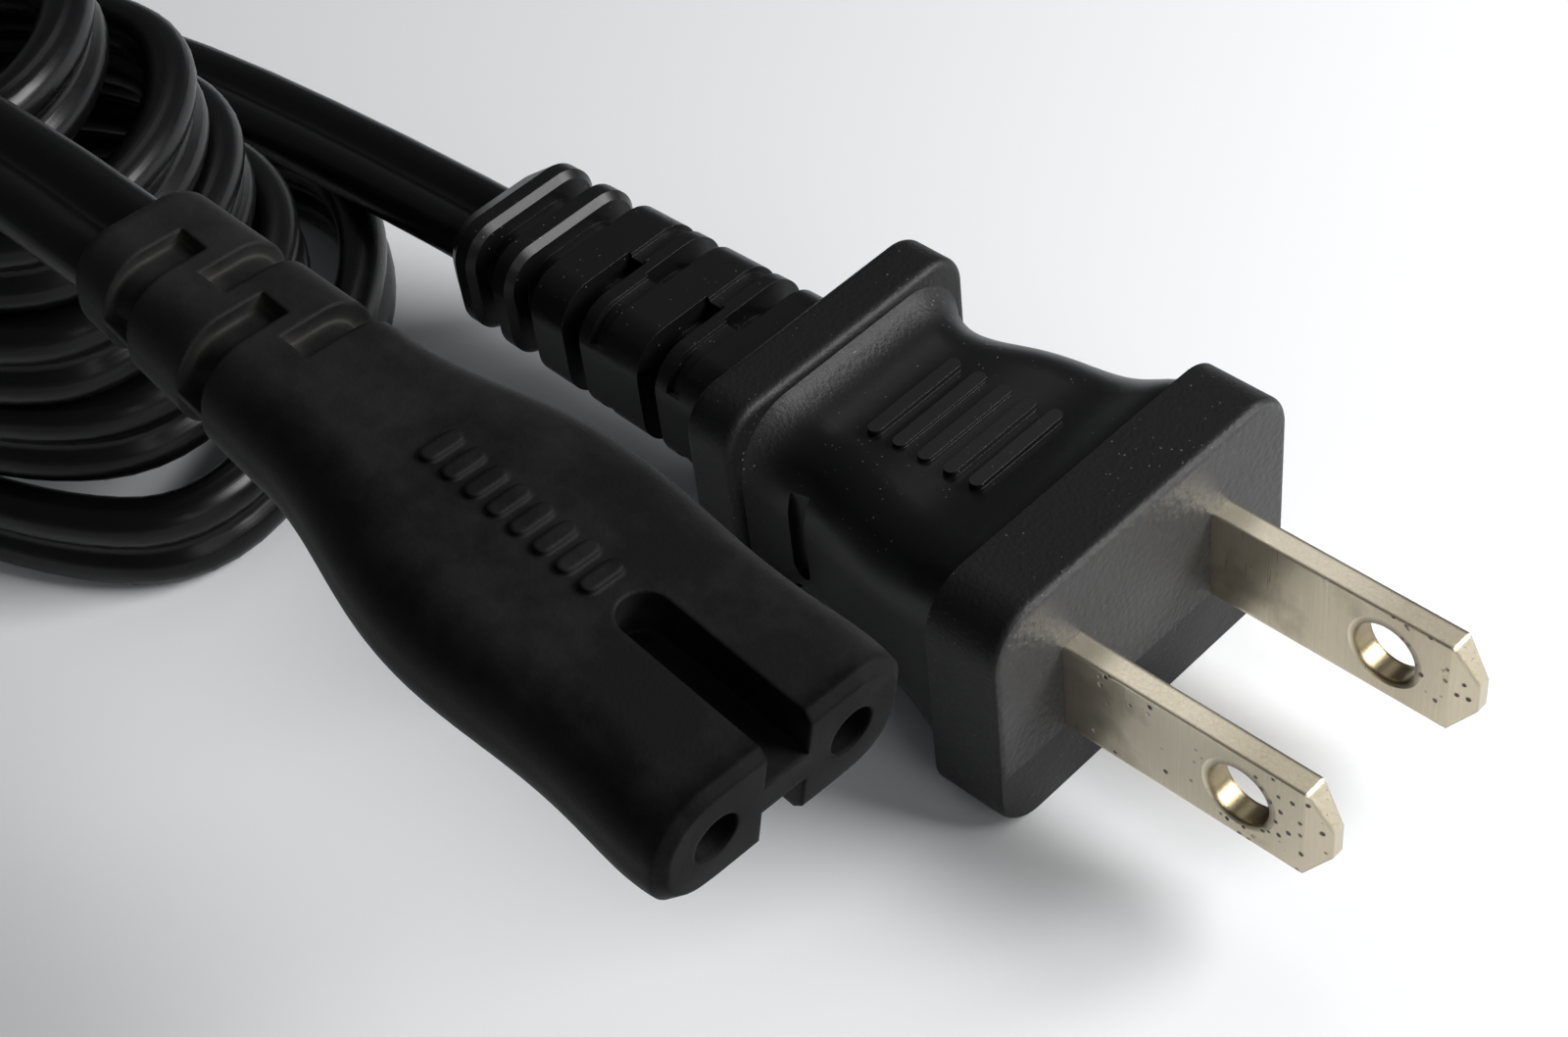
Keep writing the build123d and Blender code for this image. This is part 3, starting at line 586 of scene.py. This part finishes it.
def makeBladeNickel(settings):
    material, tree = newMaterial("nickelPlatedBrass")
    place = addNode(tree, "ShaderNodeTexCoord").outputs["Object"]
    across = 1 / (settings["brushGrain"] * mm)
    along = 1 / (settings["brushLength"] * mm)
    brushMap = addNode(tree, "ShaderNodeMapping", {"Scale": (across, across, along)}, {"Vector": place})
    brush = addNode(tree, "ShaderNodeTexNoise", {"Scale": 1.0, "Detail": 4.0}, {"Vector": brushMap.outputs[0]})
    cloud = addNode(tree, "ShaderNodeTexNoise", {"Scale": 1 / (settings["stainSize"] * mm), "Detail": 4.0},
                    {"Vector": place})
    tone = addNode(tree, "ShaderNodeMix", {"data_type": "RGBA", 6: linearColour(settings["colour"]),
                                           7: linearColour(settings["dark"])}, {0: brush.outputs["Fac"]})
    stainRamp = addNode(tree, "ShaderNodeValToRGB", links={0: cloud.outputs["Fac"]})
    setRamp(stainRamp, [(0.5, grey(0)), (0.72, grey(0.6))])
    split = addNode(tree, "ShaderNodeSeparateXYZ", links={0: place})
    # darker and browner towards the tip
    towardsTipBrowner = addNode(tree, "ShaderNodeMapRange", {"From Min": settings["pitsFrom"] * mm,
                                                  "From Max": settings["pitsTo"] * mm,
                                                  "To Max": settings["tipBrowning"]},
                     {"Value": split.outputs["X"]})
    brownAmount = addNode(tree, "ShaderNodeMath", {"operation": "MAXIMUM"},
                  {0: stainRamp.outputs["Color"], 1: towardsTipBrowner.outputs[0]})
    stained = addNode(tree, "ShaderNodeMix", {"data_type": "RGBA", 7: linearColour(settings["stain"])},
                      {0: brownAmount.outputs[0], 6: tone.outputs[2]})
    holeX, holeZ = (-value * mm for value in settings["holeAt"])
    aroundHole = addNode(tree, "ShaderNodeMapping", {"Location": (holeX, 0.0, holeZ),
                                                     "Scale": (1.0, 0.0, 1.0)}, {"Vector": place})
    fromHole = addNode(tree, "ShaderNodeVectorMath", {"operation": "LENGTH"}, {0: aroundHole.outputs[0]})
    rimTo = settings["holeRadius"] + settings["rolledRim"]
    rim = addNode(tree, "ShaderNodeMapRange", {"From Min": settings["holeRadius"] * mm, "From Max": rimTo * mm,
                                               "To Min": 1.0, "To Max": 0.0},
                  {"Value": fromHole.outputs["Value"]})
    # painted shade: the ring round the hole is darkened where the rolled rim turns from the light
    paintedRimShade = addNode(tree, "ShaderNodeMath", {"operation": "MULTIPLY", 1: settings["rimShade"]},
                      {0: rim.outputs[0]})
    rimShaded = addNode(tree, "ShaderNodeMix", {"data_type": "RGBA", 7: linearColour(settings["stain"])},
                     {0: paintedRimShade.outputs[0], 6: stained.outputs[2]})
    pits = addNode(tree, "ShaderNodeTexVoronoi", {"Scale": 1 / (settings["pitSpacing"] * mm)},
                   {"Vector": place})
    pitRamp = addNode(tree, "ShaderNodeValToRGB", links={0: pits.outputs["Distance"]})
    setRamp(pitRamp, [(0.16, grey(1)), (0.25, grey(0))])
    where = addNode(tree, "ShaderNodeTexNoise", {"Scale": 1 / (settings["pitPatch"] * mm), "Detail": 1.0},
                    {"Vector": place})
    towardsTip = addNode(tree, "ShaderNodeMapRange", {"From Min": settings["pitsFrom"] * mm,
                                                      "From Max": settings["pitsTo"] * mm,
                                                      "To Min": -0.05, "To Max": 0.15},
                         {"Value": split.outputs["X"]})
    nearSide = addNode(tree, "ShaderNodeMapRange", {"From Min": settings["bladeOffset"] * mm,
                                                    "From Max": -settings["bladeOffset"] * mm,
                                                    "To Min": -0.12, "To Max": 0.05},
                       {"Value": split.outputs["Y"]})
    lean = addNode(tree, "ShaderNodeMath", {"operation": "ADD"},
                   {0: towardsTip.outputs[0], 1: nearSide.outputs[0]})
    often = addNode(tree, "ShaderNodeMath", {"operation": "ADD"},
                    {0: where.outputs["Fac"], 1: lean.outputs[0]})
    whereRamp = addNode(tree, "ShaderNodeValToRGB", links={0: often.outputs[0]})
    setRamp(whereRamp, [(0.52, grey(0)), (0.6, grey(1))])
    surface = addNode(tree, "ShaderNodeNewGeometry")
    facing = addNode(tree, "ShaderNodeSeparateXYZ", links={0: surface.outputs["Normal"]})
    sideways = addNode(tree, "ShaderNodeMath", {"operation": "ABSOLUTE"}, {0: facing.outputs["Y"]})
    onSide = addNode(tree, "ShaderNodeMath", {"operation": "GREATER_THAN", 1: 0.7}, {0: sideways.outputs[0]})
    sidePits = addNode(tree, "ShaderNodeMath", {"operation": "MULTIPLY"},
                       {0: pitRamp.outputs["Color"], 1: onSide.outputs[0]})
    pitMask = addNode(tree, "ShaderNodeMath", {"operation": "MULTIPLY"},
                      {0: sidePits.outputs[0], 1: whereRamp.outputs["Color"]})
    colour = addNode(tree, "ShaderNodeMix", {"data_type": "RGBA", 7: linearColour(settings["pit"])},
                     {0: pitMask.outputs[0], 6: rimShaded.outputs[2]})
    metal = addNode(tree, "ShaderNodeMath", {"operation": "SUBTRACT", 0: 1.0}, {1: pitMask.outputs[0]})
    roughness = addNode(tree, "ShaderNodeMapRange", {"To Min": settings["roughness"] - 0.06,
                                                     "To Max": settings["roughness"] + 0.14},
                        {"Value": brush.outputs["Fac"]})
    edge = addNode(tree, "ShaderNodeBevel", {"samples": 6, "Radius": settings["edge"] * mm})
    rolled = addNode(tree, "ShaderNodeBump", {"Strength": 1.0, "Distance": settings["rolledDepth"] * mm,
                                              "invert": True},
                     {"Height": rim.outputs[0], "Normal": edge.outputs[0]})
    hollow = addNode(tree, "ShaderNodeBump", {"Strength": 0.8, "Distance": settings["pitDepth"] * mm,
                                              "invert": True},
                     {"Height": pitMask.outputs[0], "Normal": rolled.outputs[0]})
    bump = addNode(tree, "ShaderNodeBump", {"Strength": 0.35, "Distance": settings["brushDepth"] * mm},
                   {"Height": brush.outputs["Fac"], "Normal": hollow.outputs[0]})
    shader = addNode(tree, "ShaderNodeBsdfPrincipled",
                     links={"Base Color": colour.outputs[2], "Metallic": metal.outputs[0],
                            "Roughness": roughness.outputs[0], "Normal": bump.outputs[0]})
    finishMaterial(tree, shader)
    return material


# Inner parts: each a plain stock finish with a fine mottle
innerFinishes = {
    "tinnedBrass": {"colour": "#b5a98a", "shade": "#8d8064", "metallic": 1.0, "roughness": 0.35, "size": 0.8},
    "bareCopper": {"colour": "#b87347", "shade": "#8a4a2c", "metallic": 1.0, "roughness": 0.3, "size": 0.4},
    "mouldedPolypropylene": {"colour": "#d9d6cc", "shade": "#c9c5b8", "metallic": 0.0, "roughness": 0.45,
                             "size": 1.5},
    "whiteCorePvc": {"colour": "#dedcd5", "shade": "#cfcdc4", "metallic": 0.0, "roughness": 0.4, "size": 1.0},
    "blackCorePvc": {"colour": "#1c1c1c", "shade": "#262626", "metallic": 0.0, "roughness": 0.4, "size": 1.0},
    "tiePolythene": {"colour": "#191919", "shade": "#242424", "metallic": 0.0, "roughness": 0.38, "size": 0.7},
}


def makeInnerFinish(name, settings):
    material, tree = newMaterial(name)
    place = addNode(tree, "ShaderNodeTexCoord").outputs["Object"]
    mottle = addNode(tree, "ShaderNodeTexNoise", {"Scale": 1 / (settings["size"] * mm), "Detail": 3.0},
                     {"Vector": place})
    colour = addNode(tree, "ShaderNodeMix", {"data_type": "RGBA", 6: linearColour(settings["colour"]),
                                             7: linearColour(settings["shade"])}, {0: mottle.outputs["Fac"]})
    bump = addNode(tree, "ShaderNodeBump", {"Strength": 0.4, "Distance": 0.02 * mm},
                   {"Height": mottle.outputs["Fac"]})
    shader = addNode(tree, "ShaderNodeBsdfPrincipled", {"Metallic": settings["metallic"],
                                                        "Roughness": settings["roughness"]},
                     {"Base Color": colour.outputs[2], "Normal": bump.outputs[0]})
    finishMaterial(tree, shader)
    return material


def paint(piece, material):
    if not piece.material_slots:
        piece.data.materials.append(material)
    for slot in piece.material_slots:
        slot.material = material


inner = {name: makeInnerFinish(name, settings) for name, settings in innerFinishes.items()}
plugMaterial = makePlugPvc(plugPvc)
connectorMaterial = makeConnectorPvc(connectorPvc)
flexMaterial = makeFlexPvc(flexPvc)
nickelMaterial = makeBladeNickel(bladeNickel)
finishOf = {
    "plug_body": plugMaterial,
    "plug_carrier": inner["mouldedPolypropylene"],
    "plug_lead": flexMaterial,
    "socket_body": connectorMaterial,
    "socket_carrier": inner["blackCorePvc"],
    "socket_lead": flexMaterial,
    "cord_hank": flexMaterial,
    "cord_tie": inner["tiePolythene"],
}
for side, core in (("left", "whiteCorePvc"), ("right", "blackCorePvc")):
    finishOf["blade_" + side] = nickelMaterial
    finishOf["contact_" + side] = inner["tinnedBrass"]
    for end in ("plug", "socket"):
        finishOf[end + "_strands_" + side] = inner["bareCopper"]
        finishOf[end + "_core_" + side] = inner[core]
for name, node in nodes.items():
    paint(node, finishOf[name])
paint(lead, flexMaterial)
paint(tie, inner["tiePolythene"])
print("materials made:", len(bpy.data.materials))


# Pale floor, soft studio light
studio = {
    "floor": "#e9eaec",
    "fibre": 0.6,
    "half": 1.5,
    "world": "#f4f6fa",
    "worldStrength": 0.12,
    "lamps": [
        # name, place, aimed at, width, depth, watts
        ("window", (0.22, 0.18, 0.19), (0.0, 0.0, 0.0), 0.24, 0.16, 1.97),
        ("fill", (0.40, -0.10, 0.20), (0.0, 0.0, 0.0), 0.2, 0.2, 0.3),
        ("sky", (-0.15, 0.25, 0.40), (-0.04, 0.0, 0.0), 0.2, 0.2, 0.13),
    ],
}


def makeStudio(settings):
    shape = bmesh.new()
    bmesh.ops.create_grid(shape, x_segments=1, y_segments=1, size=settings["half"])
    mesh = bpy.data.meshes.new("studioFloor")
    shape.to_mesh(mesh)
    shape.free()
    floor = bpy.data.objects.new("studioFloor", mesh)
    bpy.context.scene.collection.objects.link(floor)
    material, tree = newMaterial("matteCard")
    place = addNode(tree, "ShaderNodeTexCoord").outputs["Object"]
    fibre = addNode(tree, "ShaderNodeTexNoise", {"Scale": 1 / (settings["fibre"] * mm), "Detail": 3.0},
                    {"Vector": place})
    bump = addNode(tree, "ShaderNodeBump", {"Strength": 0.1, "Distance": 0.05 * mm},
                   {"Height": fibre.outputs["Fac"]})
    shader = addNode(tree, "ShaderNodeBsdfPrincipled", {"Base Color": linearColour(settings["floor"]),
                                                        "Roughness": 0.7}, {"Normal": bump.outputs[0]})
    finishMaterial(tree, shader)
    paint(floor, material)
    for name, place, target, wide, deep, watts in settings["lamps"]:
        lamp = bpy.data.lights.new(name, "AREA")
        lamp.shape = "RECTANGLE"
        lamp.size = wide
        lamp.size_y = deep
        lamp.energy = watts
        lampObject = bpy.data.objects.new(name, lamp)
        aim = (Vector(place) - Vector(target)).to_track_quat("Z", "Y")
        lampObject.matrix_world = Matrix.Translation(place) @ aim.to_matrix().to_4x4()
        bpy.context.scene.collection.objects.link(lampObject)
    world = bpy.data.worlds.new("studioAir")
    bpy.context.scene.world = world
    world.use_nodes = True
    tree = world.node_tree
    tree.nodes.clear()
    around = addNode(tree, "ShaderNodeBackground", {"Color": linearColour(settings["world"]),
                                                    "Strength": settings["worldStrength"]})
    addNode(tree, "ShaderNodeOutputWorld", links={"Surface": around.outputs[0]})
    bpy.context.scene.view_settings.view_transform = "Standard"


makeStudio(studio)
print("studio lit")
